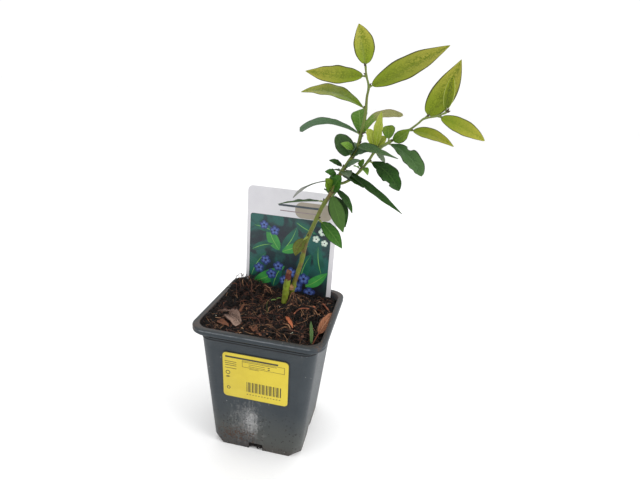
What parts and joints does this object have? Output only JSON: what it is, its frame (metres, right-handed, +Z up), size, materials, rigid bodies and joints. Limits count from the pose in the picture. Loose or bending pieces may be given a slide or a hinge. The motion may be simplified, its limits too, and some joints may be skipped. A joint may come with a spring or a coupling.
{
  "type": "potted blueberry bush",
  "caption": "Young highbush blueberry leaning to one side, in a square plastic nursery pot of compost with a picture card behind the stem.",
  "frame": {"origin": "middle of the pot's flat underside", "axes": "+Z up, -Y towards the pot's front with the sticker, +X towards the side that the shoots lean to"},
  "size_m": [0.1626, 0.09, 0.2851],
  "materials": {
    "pot": "satin slate-grey polypropylene with chalky stains and a brown dirt band at the foot",
    "compost": "damp near-black peat with brown fibres",
    "label_card": null,
    "sticker": "yellow paper label with plain rules and stripes",
    "bark": "smooth olive young bark with brown nodes",
    "leaf": "smooth leaf with sunk veins, paler beneath"
  },
  "bodies": {
    "root": {"pot": "pot", "compost": "compost", "label_card": "label_card", "sticker": "sticker", "stump": "bark", "trunk": "bark", "bough_leader_upper": "bark", "bough_side_lower": "bark", "bough_side_upper": "bark", "foliage_fork": "leaf", "foliage_leader_middle": "leaf", "foliage_leader_top": "leaf", "foliage_side_inner": "leaf", "foliage_side_middle": "leaf", "foliage_side_tip": "leaf", "foliage_low_back": "leaf", "foliage_low_right": "leaf", "foliage_low_left": "leaf"}
  },
  "joints": []
}
